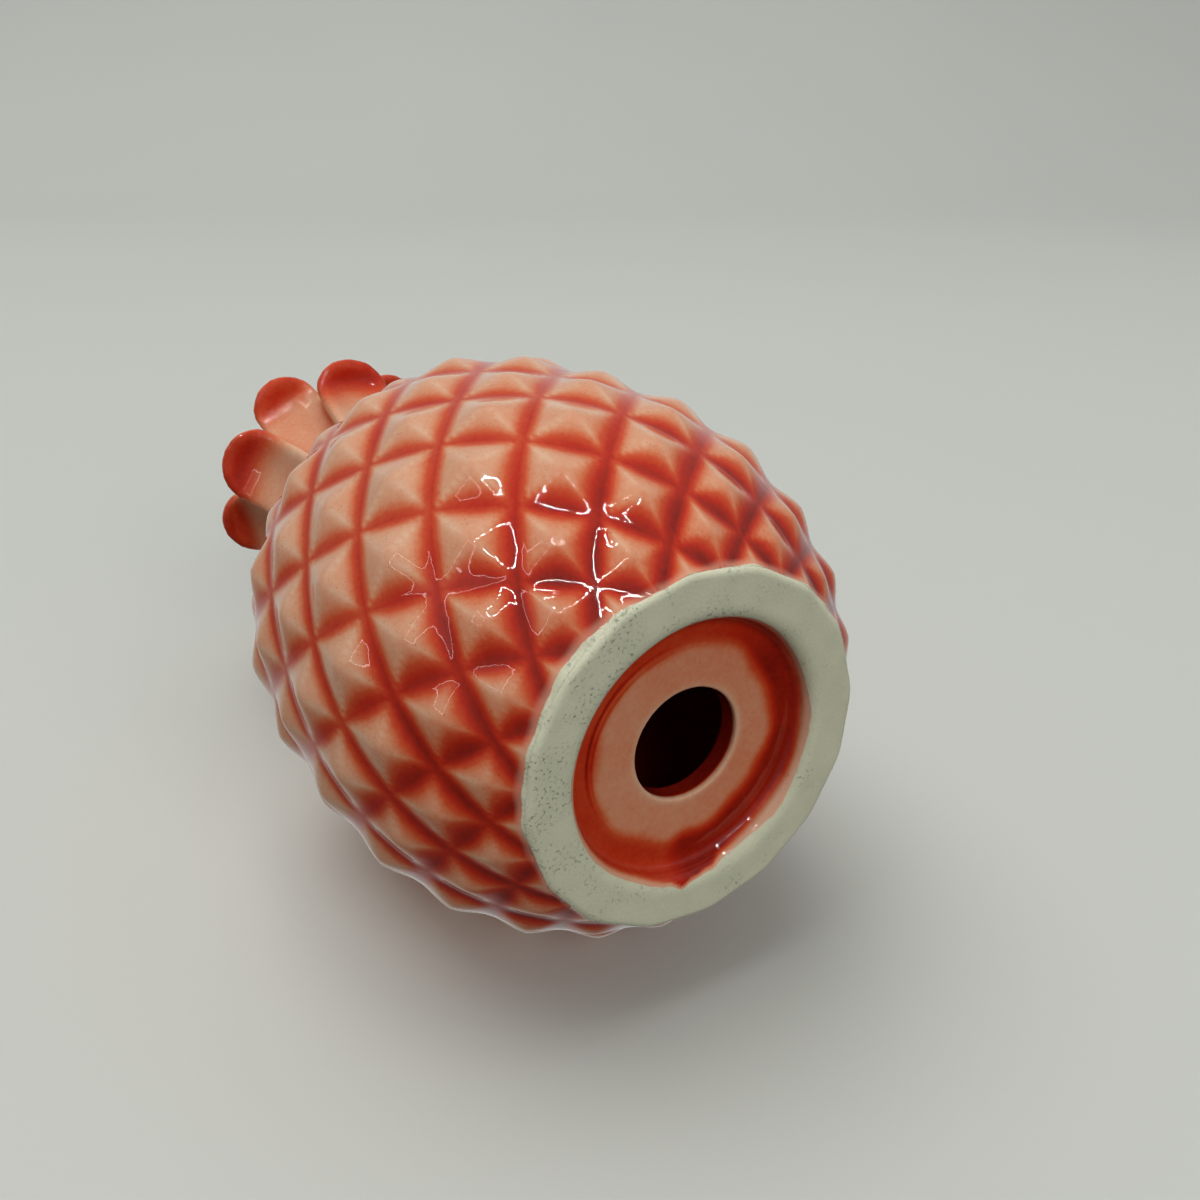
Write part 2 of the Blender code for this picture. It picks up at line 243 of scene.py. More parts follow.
# Bare clay of the foot ring. The glaze ends just above the foot outside, and inside the
# recess's mouth. There it spilt over on one side, and was wiped off deeper on another.
OUTER_LINE_HEIGHT = 0.75 * MM
OUTER_LINE_WAVES = ((0.30, 3, 1.0), (0.15, 7, 0.3))
INNER_LINE_DEPTH = 1.35 * MM
INNER_LINE_WAVES = ((0.16, 4, 0.5), (0.10, 9, 1.0))
INNER_LINE_RADII = (HOLE_RADIUS + 3.0 * MM, RECESS_RADIUS + RECESS_EDGE + 0.5 * MM)
INNER_LINE_TOP = RECESS_DEPTH + 0.2 * MM
SPILT_MIDDLE = math.radians(132)
SPILT_SPREAD = math.radians(16)
SPILT_SIZE = 1.1 * MM
SPILT_WAVES = ((0.25, 23, 0.4), (0.15, 41, 1.1))
WIPED_MIDDLE = math.radians(40)
WIPED_SIZE = 1.2 * MM
BUILD_UP = 1.9 * MM
SPILT_BUILD_UP = 1.4 * MM
MOST_BARE = 3.0

# Noises of the surfaces, as (scale, detail, roughness).
DRIFT_NOISE = (160, 2.0, 0.5)
MOTTLE_NOISE = (1500, 3.0, 0.6)
SPECK_NOISE = (5200, 2.0, 0.55)
WOBBLE_NOISE = (700, 3.0, 0.55)
CLAY_NOISE = (240, 3.0, 0.5)
PATCH_NOISE = (230, 3.0, 0.5)
GRIME_NOISE = (2600, 3.0, 0.6)
DUST_NOISE = (7800, 2.0, 0.6)
RIPPLE_NOISE = (420, 2.0, 0.5)
GRAIN_NOISE = (3000, 4.0, 0.65)
PAPER_NOISE = (2.5, 3.0, 0.5)

# How much each noise counts, and between which values it shows.
DRIFT_SHARE = 0.30
MOTTLE_SHARE = 0.22
SPECK_LIMITS = (0.655, 0.70)
SPECK_SHARE = 0.45
WOBBLE_SHARE = 0.30
BARE_LIMITS = (-0.05, 0.10)
FRINGE_LIMITS = (-0.75, -0.05)
FRINGE_SHARE = 0.55
SOILED_SIDE = (-0.47, -0.88, 0.0)
SOILED_LIMITS = (-6.0 * MM, 16.0 * MM)
SOILED_SHARE = 0.12
PATCH_LIMITS = (0.52, 0.70)
GRIME_LIMITS = (0.53, 0.68)
GRIME_SHARE = 0.75
DUST_LIMITS = (0.60, 0.72)
DUST_SHARE = 0.45
GRAIN_SHARE = 1.5
BUMP_DEPTH = 0.04 * MM

# Colours and shine. The glaze's colour goes with its scaled thickness, from 0 to 1.
GLAZE_SCALE = 0.77
GLAZE_COLORS = [
    (0.00, (0.74, 0.44, 0.29, 1.0)),
    (0.16, (0.70, 0.33, 0.19, 1.0)),
    (0.34, (0.66, 0.19, 0.085, 1.0)),
    (0.52, (0.60, 0.075, 0.022, 1.0)),
    (0.74, (0.50, 0.022, 0.006, 1.0)),
    (1.00, (0.20, 0.008, 0.004, 1.0)),
]
SPECK_COLOR = (0.10, 0.022, 0.012, 1.0)
FRINGE_COLOR = (0.72, 0.36, 0.24, 1.0)
CLAY_PALE = (0.76, 0.74, 0.55, 1.0)
CLAY_DARK = (0.58, 0.60, 0.43, 1.0)
GRIME_COLOR = (0.15, 0.15, 0.14, 1.0)
DUST_COLOR = (0.22, 0.22, 0.18, 1.0)
PAPER_DARK = (0.53, 0.545, 0.51, 1.0)
PAPER_PALE = (0.57, 0.585, 0.545, 1.0)
BLACK = (0.0, 0.0, 0.0, 1.0)
GLAZE_IOR = 1.52
GLAZE_ROUGHNESS = 0.035
MOTTLE_ROUGHNESS = 0.01
CLAY_ROUGHNESS = 0.72
PAPER_ROUGHNESS = 0.7

# The photograph's camera. Its image is square.
CAMERA_PLACE = Vector((-8.45, -81.39, -75.92)) * MM
CAMERA_AIM = Vector((6.995, -1.350, 26.322)) * MM
CAMERA_ROLL = math.radians(-56.85)
SENSOR_WIDTH = 36.0
LENS = 34.48
CAMERA_CLIP_START = 0.005
CAMERA_CLIP_END = 20.0

# The table that the ornament lies on in the photograph stands upright in this frame.
TABLE_UP = Vector((0.632, -0.775, 0.0)).normalized()
TABLE_GAP = 30.75 * MM
TABLE_NEAR = 3.0
TABLE_FAR = 0.9
SWEEP_RADIUS = 0.7
SWEEP_RISE = 2.0
SWEEP_STEPS = 24
TABLE_HALF_WIDTH = 3.0
FLOOR_HALF_WIDTH = 4.0
FLOOR_GAP = 0.02 * MM

# Soft panels that light the piece and are not mirrored, as (name, place, size, watts).
LIT_POINT = Vector((0.0, 0.0, 35.0)) * MM
LAMP_DIRECTION = Vector((0.447, -0.849, 0.13)).normalized()
LAMP_DISTANCE = 2.0
PANELS = [
    ("panel", LIT_POINT + LAMP_DIRECTION * LAMP_DISTANCE, 1.6, 19.5),
    ("sky", Vector((1.4, -1.7, 1.3)), 2.4, 15.5),
    ("back", Vector((-1.7, 0.3, 1.3)), 1.6, 17.0),
    ("fill", Vector((0.5, -0.8, -1.8)), 1.2, 18.5),
]

# The frame of small bright lights and the dim window that the glaze mirrors.
FRAME_DIRECTION = Vector((0.436, -0.886, -0.159)).normalized()
FRAME_WIDTH = 1.1
FRAME_HEIGHT = 0.85
FRAME_DOTS_ACROSS = 16
FRAME_DOTS_UP = 12
FRAME_DOT_LENGTH = 0.034
FRAME_DOT_WIDTH = 0.009
FRAME_STRENGTH = 420.0
FRAME_COLOR = (1.0, 0.98, 0.95, 1.0)
WINDOW_DIRECTION = Vector((-0.252, -0.967, 0.041)).normalized()
WINDOW_WIDTH = 1.1
WINDOW_HEIGHT = 0.9
WINDOW_EDGE = 0.03
WINDOW_STRENGTH = 0.55
WINDOW_EDGE_STRENGTH = 7.0
WINDOW_COLOR = (1.0, 0.86, 0.84, 1.0)

# The room's brightness: more above the table, less on one side, more behind the piece.
ROOM_COLOR = (0.94, 0.96, 0.92, 1.0)
ROOM_LOW = 0.06
ROOM_HIGH = 0.32
ROOM_LIMITS = (-0.5, 0.9)
SHADE_DIRECTION = Vector((0.1, 0.62, -0.77)).normalized()
ROOM_SHADE = 0.12
SHADE_LIMITS = (0.35, 0.85)
ROOM_BEHIND = 0.45
BEHIND_LIMITS = (0.45, 0.95)

CURVE_SAMPLES = 600
SEARCH_BATCH = 5000
TINY = 1e-6


def spline(points, count):
    """A smooth curve through the points, as count evenly spread (x, y) rows."""
    knots = np.array(points, float)
    spans = np.hypot(*np.diff(knots, axis=0).T)
    at = np.concatenate([[0.0], np.cumsum(spans)])
    size = len(knots)
    system = np.eye(size)
    wanted = np.zeros((size, 2))
    for k in range(1, size - 1):
        before, after = spans[k - 1], spans[k]
        system[k, k - 1 : k + 2] = before, 2 * (before + after), after
        rise_after = (knots[k + 1] - knots[k]) / after
        rise_before = (knots[k] - knots[k - 1]) / before
        wanted[k] = 6 * (rise_after - rise_before)
    bend = np.linalg.solve(system, wanted)
    t = np.linspace(0.0, at[-1], count)
    k = np.clip(np.searchsorted(at, t, side="right") - 1, 0, size - 2)
    span = spans[k][:, None]
    left = (at[k + 1] - t)[:, None]
    right = (t - at[k])[:, None]
    curved = (bend[k] * left**3 + bend[k + 1] * right**3) / (6 * span)
    start = (knots[k] / span - bend[k] * span / 6) * left
    end = (knots[k + 1] / span - bend[k + 1] * span / 6) * right
    return curved + start + end


class Outline:
    """A turned outline that can be read by climb, the length along it over its radius."""

    def __init__(self, points):
        self.line = spline(points, CURVE_SAMPLES)
        steps = np.diff(self.line, axis=0)
        lengths = np.hypot(*steps.T)
        middle = (self.line[1:, 0] + self.line[:-1, 0]) / 2
        self.climb = np.concatenate([[0.0], np.cumsum(lengths / middle)])
        along = np.gradient(self.line, axis=0)
        along /= np.hypot(*along.T)[:, None]
        self.outward = np.column_stack([along[:, 1], -along[:, 0]])

    def at(self, climb):
        """Radius, height and the outward direction at that climb."""
        columns = (*self.line.T, *self.outward.T)
        return [np.interp(climb, self.climb, column) for column in columns]

    def nearest_climb(self, radii, heights):
        """The climb of the outline's point nearest each (radius, height)."""
        found = np.empty(len(radii))
        for start in range(0, len(radii), SEARCH_BATCH):
            part = slice(start, start + SEARCH_BATCH)
            across = radii[part, None] - self.line[None, :, 0]
            up = heights[part, None] - self.line[None, :, 1]
            found[part] = self.climb[np.argmin(across**2 + up**2, axis=1)]
        return found

    def inside(self, offset, lowest, highest, count):
        """Points of the same outline, moved in by offset, between two heights."""
        moved = self.line - self.outward * offset
        heights = np.linspace(lowest, highest, count)
        order = np.argsort(moved[:, 1])
        radii = np.interp(heights, moved[order, 1], moved[order, 0])
        return list(zip(radii, heights))


def smooth_step(value, low, high):
    """0 below low, 1 above high, with a smooth rise between."""
    t = np.clip((value - low) / (high - low), 0.0, 1.0)
    return t * t * (3 - 2 * t)


def bell(offset, width):
    """1 where there is no offset, fading to nothing beyond about twice the width."""
    return np.exp(-((offset / width) ** 2))


def groove_places(row, place):
    """Where a point lies between the grooves of each family, from 0 to 1."""
    across = (row + place) / 2
    along = (row - place) / 2
    return across - np.floor(across), along - np.floor(along)


def soft_rise(row, place):
    """Height of a glazed diamond: rounded ridges, filled grooves and hollow facets."""
    a, b = groove_places(row, place)
    u = np.abs(2 * a - 1)
    v = np.abs(2 * b - 1)
    apart = np.sqrt((u - v) ** 2 + RIDGE_ROUNDING**2)
    outer = (u + v + apart) / 2
    inner = (u + v - apart) / 2
    steepest = math.hypot(1, APEX_ROUNDING)
    plain = (steepest - np.hypot(outer, APEX_ROUNDING)) / (steepest - APEX_ROUNDING)
    plain = np.clip(plain, 0.0, 1.0)
    facet = 1 - np.clip(inner / np.maximum(outer, TINY), 0.0, 1.0) ** 2
    plain = plain - FACET_DENT * 4 * outer * (1 - outer) * facet
    filled = np.sqrt(np.maximum(plain, 0.0) ** 2 + GROOVE_ROUNDING**2) - GROOVE_ROUNDING
    return filled / (math.hypot(1, GROOVE_ROUNDING) - GROOVE_ROUNDING)


def point_height(row, radius):
    """Points shrink with the diamonds, and are worn down where they meet the foot."""
    grown = np.minimum(1.0, row / FULL_POINT_ROW)
    share = FOOT_POINT_SHARE + (1 - FOOT_POINT_SHARE) * grown
    return POINT_HEIGHT * share * radius / BELLY_RADIUS


class Shell:
    """Vertices and faces of a closed mesh, added ring by ring."""

    def __init__(self):
        self.points = []
        self.faces = []
        self.count = 0

    def add(self, spots):
        """Adds rows of coordinates as vertices and returns their numbers."""
        self.points.append(spots)
        made = np.arange(self.count, self.count + len(spots))
        self.count += len(spots)
        return made

    def ring(self, radii, heights, angles):
        """Adds a ring of vertices and returns their numbers."""
        radii = np.broadcast_to(radii, angles.shape)
        heights = np.broadcast_to(heights, angles.shape)
        return self.add(np.column_stack([radii * np.cos(angles), radii * np.sin(angles), heights]))

    def spot(self, x, y, z):
        """Adds one vertex and returns its number."""
        return self.add(np.array([[x, y, z]]))[0]

    def bridge(self, lower, upper):
        """Quads between two rings whose vertices stand over each other."""
        lower_next = np.roll(lower, -1)
        upper_next = np.roll(upper, -1)
        quads = np.column_stack([lower, lower_next, upper_next, upper])
        self.faces += quads.tolist()

    def fan(self, rim, tip, upward):
        """Triangles from a ring to one point."""
        following = np.roll(rim, -1)
        tips = np.full(len(rim), tip)
        pair = (rim, following) if upward else (following, rim)
        self.faces += np.column_stack([*pair, tips]).tolist()

    def mesh_object(self, name):
        """A linked object with this shell as its mesh."""
        mesh = bpy.data.meshes.new(name)
        mesh.from_pydata(np.concatenate(self.points), [], self.faces)
        mesh.update()
        made = bpy.data.objects.new(name, mesh)
        bpy.context.scene.collection.objects.link(made)
        return made


def add_lattice(shell, outline):
    """The diamond-patterned wall. Returns its lowest and highest rings and the angles."""
    steps = DIAMOND_STEPS
    rows = int((outline.climb[-1] + FIRST_ROW_DROP) / ROW_CLIMB)
    columns = GROOVES * steps
    counted = np.arange(columns)
    rings = []
    for level in range(rows * steps + 1):
        row = level / steps
        radius, height, out_r, out_z = outline.at(max(0.0, row * ROW_CLIMB - FIRST_ROW_DROP))
        place = (2 * counted + level % 2) / steps
        rise = soft_rise(row, place) * point_height(row, radius)
        angles = math.pi * place / GROOVES
        rings.append(shell.ring(radius + rise * out_r, height + rise * out_z, angles))
    for level in range(-1, rows * steps):
        shift = level % 2
        right = np.roll(rings[level + 1], -shift)
        left = np.roll(rings[level + 1], 1 - shift)
        if level < 0:
            shell.faces += np.column_stack([left, right, rings[1]]).tolist()
        elif level + 2 == len(rings):
            shell.faces += np.column_stack([rings[level], right, left]).tolist()
        else:
            quads = np.column_stack([rings[level], right, rings[level + 2], left])
            shell.faces += quads.tolist()
    return rings[0], rings[-1], 2 * math.pi * counted / columns


def arc(corner, before, after, radius, steps):
    """Points of a rounded corner of a path, between the points before and after it."""
    corner, before, after = (np.array(p, float) for p in (corner, before, after))
    start = corner + (before - corner) / np.hypot(*(before - corner)) * radius
    end = corner + (after - corner) / np.hypot(*(after - corner)) * radius
    t = np.linspace(0.0, 1.0, steps)[:, None]
    curve = (1 - t) ** 2 * start + 2 * t * (1 - t) * corner + t**2 * end
    return [tuple(p) for p in curve]


def spread(start, end, count):
    """Points strictly between two others."""
    t = np.linspace(0.0, 1.0, count + 2)[1:-1, None]
    return [tuple(p) for p in np.array(start) * (1 - t) + np.array(end) * t]


def underside_path():
    """The turned path from the foot face over the recess and through the hole."""
    face = (RECESS_RADIUS + 2 * RECESS_EDGE, 0.0)
    mouth = (RECESS_RADIUS, 0.0)
    corner = (RECESS_RADIUS - RECESS_DRAFT, RECESS_DEPTH)
    hole = (HOLE_RADIUS, RECESS_DEPTH)
    hole_top = (HOLE_RADIUS, RECESS_DEPTH + FLOOR_THICKNESS)
    beyond = (HOLE_RADIUS + 2 * HOLE_EDGE, RECESS_DEPTH + FLOOR_THICKNESS)
    edge = arc(mouth, face, corner, RECESS_EDGE, FOOT_ARC_STEPS)
    low_corner = arc(corner, mouth, hole, RECESS_CORNER, FOOT_ARC_STEPS + 2)
    hole_edge = arc(hole, corner, hole_top, HOLE_EDGE, FOOT_ARC_STEPS)
    top_edge = arc(hole_top, hole, beyond, HOLE_EDGE, FOOT_ARC_STEPS)
    path = edge + spread(edge[-1], low_corner[0], WALL_RINGS) + low_corner
    path += spread(low_corner[-1], hole_edge[0], FLOOR_RINGS) + hole_edge
    path += spread(hole_edge[-1], top_edge[0], WALL_RINGS) + top_edge
    return path


def add_underside(shell, edge, angles):
    """The foot's rounded edge and face, the recess and the hole. Returns the last ring."""
    spots = np.concatenate(shell.points)[edge]
    edge_radii = np.hypot(spots[:, 0], spots[:, 1])
    last = edge
    for step in range(1, FOOT_ARC_STEPS + 1):
        turn = 0.5 * math.pi * step / FOOT_ARC_STEPS
        radii = edge_radii - FOOT_FACE_INSET * (1 - math.cos(turn))
        heights = FOOT_EDGE_HEIGHT * (1 - math.sin(turn))
        following = shell.ring(radii, heights, angles)
        shell.bridge(following, last)
        last = following
    inner = RECESS_RADIUS + RECESS_EDGE
    for step in range(1, FACE_RINGS + 1):
        share = step / (FACE_RINGS + 1)
        radii = (edge_radii - FOOT_FACE_INSET) * (1 - share) + inner * share
        following = shell.ring(radii, 0.0, angles)
        shell.bridge(following, last)
        last = following
    for radius, height in underside_path():
        following = shell.ring(radius, height, angles)
        shell.bridge(following, last)
        last = following
    return last


def add_cavity(shell, outline, last, angles):
    """The hollow inside of the body, closed under the neck."""
    low = RECESS_DEPTH + FLOOR_THICKNESS
    wall_points = outline.inside(WALL, CAVITY_CORNER_HEIGHT, CAVITY_SHOULDER_HEIGHT, CAVITY_RINGS)
    corner = CAVITY_CORNER_HEIGHT - low
    cut = CAVITY_CORNER_SHARE * corner
    radius = wall_points[0][0]
    points = [(radius - corner, low), (radius - cut, low + cut), *wall_points]
    points.append((CAVITY_NECK_RADIUS + WALL, NECK_SLAB_BOTTOM))
    for radius, height in points:
        following = shell.ring(radius, height, angles)
        shell.bridge(following, last)
        last = following
    shell.fan(last, shell.spot(0.0, 0.0, NECK_SLAB_BOTTOM), upward=False)


def body_shell():
    """The hollow body, closed at the neck."""
    outline = Outline(BODY_OUTLINE)
    shell = Shell()
    edge, top, angles = add_lattice(shell, outline)
    last = add_underside(shell, edge, angles)
    add_cavity(shell, outline, last, angles)
    shell.fan(top, shell.spot(0.0, 0.0, NECK_HEIGHT), upward=True)
    return shell


def turned_shell(points, sides):
    """A closed turned solid from (radius, height) points, bottom to top."""
    shell = Shell()
    angles = 2 * math.pi * np.arange(sides) / sides
    last = None
    for radius, height in points[1:-1]:
        following = shell.ring(radius, height, angles)
        if last is None:
            shell.fan(following, shell.spot(0.0, 0.0, points[0][1]), upward=False)
        else:
            shell.bridge(last, following)
        last = following
    shell.fan(last, shell.spot(0.0, 0.0, points[-1][1]), upward=True)
    return shell


def leaf_shares(t):
    """Width and thickness of a leaf at t, as shares of the fullest."""
    width = LEAF_ROOT_SHARE + (1 - LEAF_ROOT_SHARE) * smooth_step(t, 0.0, LEAF_TIP_START)
    past = max(0.0, (t - LEAF_TIP_START) / (1 - LEAF_TIP_START))
    blunt = max(0.0, 1 - past**LEAF_TIP_BLUNTNESS) ** (1 / LEAF_TIP_BLUNTNESS)
    rounding = math.sqrt(max(0.0, 1 - past * past))
    fuller = math.sqrt(rounding) - rounding
    return width * blunt, rounding + LEAF_TIP_FULLNESS * fuller


def leaf_section():
    """The section of a leaf: places across it, its fullness there, and its crease."""
    turns = 2 * math.pi * np.arange(LEAF_SIDES) / LEAF_SIDES
    power = 2 / LEAF_SQUARENESS
    across = np.sign(np.cos(turns)) * np.abs(np.cos(turns)) ** power
    full = np.sign(np.sin(turns)) * np.abs(np.sin(turns)) ** power
    crease = np.where(np.sin(turns) > 0, bell(across, LEAF_CREASE_WIDTH), 0.0)
    return across, full, crease


def add_leaf(shell, midrib, angle, half_width, thickness, cup):
    """One closed leaf: an arching tongue, creased on top and hollow underneath."""
    line = spline(midrib, CURVE_SAMPLES)
    slopes = np.gradient(line, axis=0)
    slopes /= np.hypot(*slopes.T)[:, None]
    out = np.array([math.cos(angle), math.sin(angle), 0.0])
    side = np.array([-math.sin(angle), math.cos(angle), 0.0])
    up = np.array([0.0, 0.0, 1.0])
    counted = np.arange(CURVE_SAMPLES)
    across, full, crease = leaf_section()
    last = None
    for station in range(LEAF_STATIONS):
        t = math.sin(0.5 * math.pi * station / LEAF_STATIONS)
        k = t * (CURVE_SAMPLES - 1)
        reach, height = (np.interp(k, counted, line[:, n]) for n in (0, 1))
        run, climb = (np.interp(k, counted, slopes[:, n]) for n in (0, 1))
        centre = out * reach + up * height
        upper = up * run - out * climb
        width_share, thick_share = leaf_shares(t)
        over = full * thickness / 2 * thick_share - cup * thick_share * across**2
        over = over - LEAF_CREASE * crease * width_share
        sideways = np.outer(across * half_width * width_share, side)
        made = shell.add(centre + sideways + np.outer(over, upper))
        if last is None:
            shell.faces.append(made.tolist())
        else:
            shell.bridge(made, last)
        last = made
    tip = out * line[-1, 0] + up * line[-1, 1]
    shell.fan(last, shell.spot(*tip), upward=False)


def add_tier(shell, turn, midrib, half_width, thickness, cup):
    """A ring of leaves round the axis, each set a little unevenly, as if by hand."""
    for k in range(TIER_LEAVES):
        swing = LEAF_SWING * math.sin(SWING_PHASE + SWING_STEP * k)
        angle = turn + 2 * math.pi * k / TIER_LEAVES + swing
        lift = LEAF_LIFT * math.sin(LIFT_PHASE + LIFT_STEP * k)
        root = midrib[0][0]
        reach = midrib[-1][0] - root
        bent = [(r, z + lift * (r - root) / reach) for r, z in midrib]
        add_leaf(shell, bent, angle, half_width, thickness, cup)


def leaf_shell():
    """All crown leaves, still as separate closed forms."""
    shell = Shell()
    lower = (LOWER_MIDRIB, LOWER_HALF_WIDTH, LEAF_THICKNESS, LEAF_CUP)
    upper = (UPPER_MIDRIB, UPPER_HALF_WIDTH, LEAF_THICKNESS, LEAF_CUP)
    bud = (BUD_MIDRIB, BUD_HALF_WIDTH, BUD_THICKNESS, BUD_CUP)
    add_tier(shell, CROWN_TURN, *lower)
    add_tier(shell, CROWN_TURN + math.pi / TIER_LEAVES, *upper)
    add_tier(shell, CROWN_TURN, *bud)
    return shell


def coordinates(mesh):
    """The mesh's vertices as an array."""
    co = np.empty(len(mesh.vertices) * 3)
    mesh.vertices.foreach_get("co", co)
    return co.reshape(-1, 3)


def vertex_normals(mesh):
    """The normals at the mesh's vertices as an array."""
    normals = np.empty(len(mesh.vertices) * 3)
    mesh.vertices.foreach_get("normal", normals)
    return normals.reshape(-1, 3)


def joined(first, second, name):
    """One object with the meshes of two, whose objects it takes away."""
    shell = Shell()
    for piece in (first, second):
        start = shell.count
        shell.add(coordinates(piece.data))
        shell.faces += [[start + v for v in face.vertices] for face in piece.data.polygons]
        bpy.data.objects.remove(piece)
    return shell.mesh_object(name)


def applied(piece):
    """Replaces a piece's mesh by what its modifiers make of it."""
    graph = bpy.context.evaluated_depsgraph_get()
    mesh = bpy.data.meshes.new_from_object(piece.evaluated_get(graph), depsgraph=graph)
    piece.modifiers.clear()
    piece.data = mesh


def crown_clump():
    """The leaves and their core, melted into one soft form."""
    top = (0.0, CORE_OUTLINE[-1][1] + CORE_TOP_RISE)
    points = [(0.0, CORE_OUTLINE[0][1]), *CORE_OUTLINE, top]
    core = turned_shell(points, CORE_SIDES).mesh_object("core")
    leaves = leaf_shell().mesh_object("leaves")
    clump = joined(core, leaves, "crown")
    remesh = clump.modifiers.new("melt", "REMESH")
    remesh.mode = "VOXEL"
    remesh.voxel_size = CROWN_VOXEL
    smooth = clump.modifiers.new("soften", "SMOOTH")
    smooth.factor = CROWN_SMOOTHING_FACTOR
    smooth.iterations = CROWN_SMOOTHING
    applied(clump)
    return clump


def boolean(piece, other, operation):
    """Joins other to piece, or cuts it away, and removes other."""
    modifier = piece.modifiers.new("boolean", "BOOLEAN")
    modifier.operation = operation
    modifier.solver = "EXACT"
    modifier.object = other
    applied(piece)
    bpy.data.objects.remove(other)


def without_slivers(mesh):
    """Dissolves edges of no length and points on only two edges, which the cuts leave."""
    work = bmesh.new()
    work.from_mesh(mesh)
    bmesh.ops.dissolve_degenerate(work, dist=SLIVER, edges=work.edges)
    passed = [vert for vert in work.verts if len(vert.link_edges) == 2]
    bmesh.ops.dissolve_verts(work, verts=passed)
    work.to_mesh(mesh)
    work.free()


def chimney():
    """The hollow inside the crown's core, as a cutter."""
    cut = CAVITY_CORNER_SHARE * CAVITY_NECK_RADIUS
    points = [
        (0.0, CHIMNEY_BOTTOM),
        (CAVITY_NECK_RADIUS, CHIMNEY_BOTTOM),
        (CAVITY_NECK_RADIUS, CAVITY_TOP_HEIGHT - CAVITY_NECK_RADIUS),
        (CAVITY_NECK_RADIUS - cut, CAVITY_TOP_HEIGHT - cut),
        (0.0, CAVITY_TOP_HEIGHT),
    ]
    return turned_shell(points, CORE_SIDES).mesh_object("chimney")


def hollowness(mesh):
    """How far each vertex lies under its smoothed surroundings, in millimetres."""
    co = coordinates(mesh)
    edges = np.empty(len(mesh.edges) * 2, int)
    mesh.edges.foreach_get("vertices", edges)
    start, end = edges.reshape(-1, 2).T
    size = len(co)
    neighbours = np.bincount(start, minlength=size) + np.bincount(end, minlength=size)
    smoothed = co.copy()
    for _ in range(SMOOTHING_PASSES):
        total = np.empty_like(smoothed)
        for n in range(3):
            total[:, n] = np.bincount(start, smoothed[end, n], size)
            total[:, n] += np.bincount(end, smoothed[start, n], size)
        smoothed = 0.5 * smoothed + 0.5 * total / neighbours[:, None]
    return ((smoothed - co) * vertex_normals(mesh)).sum(1) / MM


class Skin:
    """Where the vertices of the mesh lie, each as an array."""

    def __init__(self, mesh):
        x, y, self.height = coordinates(mesh).T
        self.radius = np.hypot(x, y)
        self.angle = np.arctan2(y, x)
        self.facing_down = -vertex_normals(mesh)[:, 2]
        self.hollow = hollowness(mesh)


def groove_glaze(row, place, spread):
    """Glaze pooled in the grooves: one family runs through, the other forms lenses.

    The glaze ran down towards the foot, so each pool fades softly on its crown side
    and ends more sharply on its foot side.
    """
    a, b = groove_places(row, place)
    glaze = 0.0
    families = [
        (b, a, BAND_GLAZE_WIDTH, BAND_PINCH, BAND_FLOW),
        (a, b, LENS_GLAZE_WIDTH, LENS_PINCH, LENS_FLOW),
    ]
    for own, other, middle_width, pinch, flow in families:
        off = np.minimum(own / CROWN_SIDE, (1 - own) / FOOT_SIDE)
        fullness = np.sin(math.pi * other) ** FULLNESS_POWER
        width = middle_width * spread * (1 - pinch + pinch * fullness)
        pooled = bell(off, width) * (1 - PINCH_THINNING * pinch * (1 - fullness))
        run = flow * fullness * np.exp(-own / FLOW_REACH)
        glaze = np.maximum(glaze, np.maximum(pooled, run))
    return glaze


def waves(angle, terms):
    """A sum of sine waves that close on themselves round the axis."""
    return sum(size * np.sin(turns * angle + phase) for size, turns, phase in terms)


def turned_from(angle, middle):
    """Signed angle from the middle direction, between minus pi and pi."""
    return (angle - middle + math.pi) % (2 * math.pi) - math.pi


def body_glaze(skin, outline):
    """Glaze thickness on the diamonds: pooled in grooves, worn on ridges, heavy at the foot."""
    climb = outline.nearest_climb(skin.radius, skin.height)
    row = (climb + FIRST_ROW_DROP) / ROW_CLIMB
    place = skin.angle * GROOVES / math.pi
    foot_heavy = 1 - smooth_step(skin.height, *FOOT_HEIGHTS)
    pooled = groove_glaze(row, place, 1 + FOOT_GROOVE_SPREAD * foot_heavy)
    a, b = groove_places(row, place)
    u, v = np.abs(2 * a - 1), np.abs(2 * b - 1)
    ridge = bell(u - v, RIDGE_WIDTH) * smooth_step(np.maximum(u, v), 0.0, RIDGE_START)
    body = POINT_GLAZE + GROOVE_GLAZE * pooled - RIDGE_WEAR * ridge * (1 - pooled)
    return body + foot_heavy * (FOOT_GLAZE + FOOT_GROOVE_GLAZE * pooled)


def crown_glaze(skin):
    """Glaze thickness on the leaves: more in hollows, and under the drooping tips pooled glaze
    plus painted shade.
    """
    held = HOLLOW_GLAZE * np.clip(skin.hollow, *HOLLOW_LIMITS)
    # Tip undersides that face down get thicker, darker glaze: partly pooled glaze, partly painted
    # shade.
    tip = smooth_step(skin.radius, *TIP_RADII) * smooth_step(skin.facing_down, *TIP_FACING)
    return CROWN_GLAZE + held + TIP_GLAZE_AND_SHADE * tip


